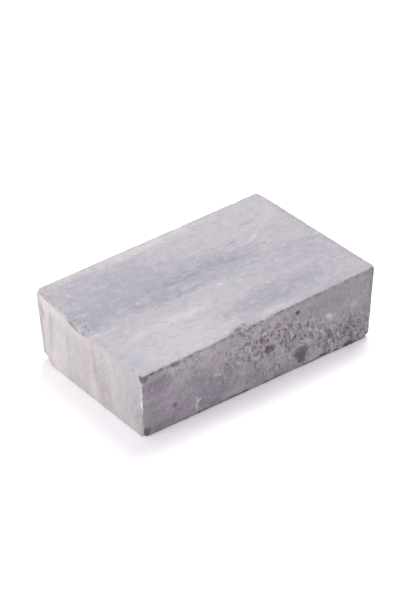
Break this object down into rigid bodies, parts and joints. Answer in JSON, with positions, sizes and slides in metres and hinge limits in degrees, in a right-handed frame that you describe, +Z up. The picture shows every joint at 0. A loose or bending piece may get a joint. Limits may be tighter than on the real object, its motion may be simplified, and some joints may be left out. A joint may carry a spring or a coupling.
{
  "type": "whetstone",
  "caption": "Flat-topped block of natural banded stone for sharpening small carving and whittling blades on its honed face.",
  "frame": {"origin": "middle of the base, on the surface the stone rests on", "axes": "+X along the length, +Y across the width from the split front to the back, +Z up out of the honed face"},
  "size_m": [0.1024, 0.0642, 0.0298],
  "materials": {
    "stone": "matt, pale lavender-grey with lengthwise beds, honed on top, sawn at the ends and split along the front"
  },
  "bodies": {
    "root": {"whetstone": "stone"}
  },
  "joints": []
}
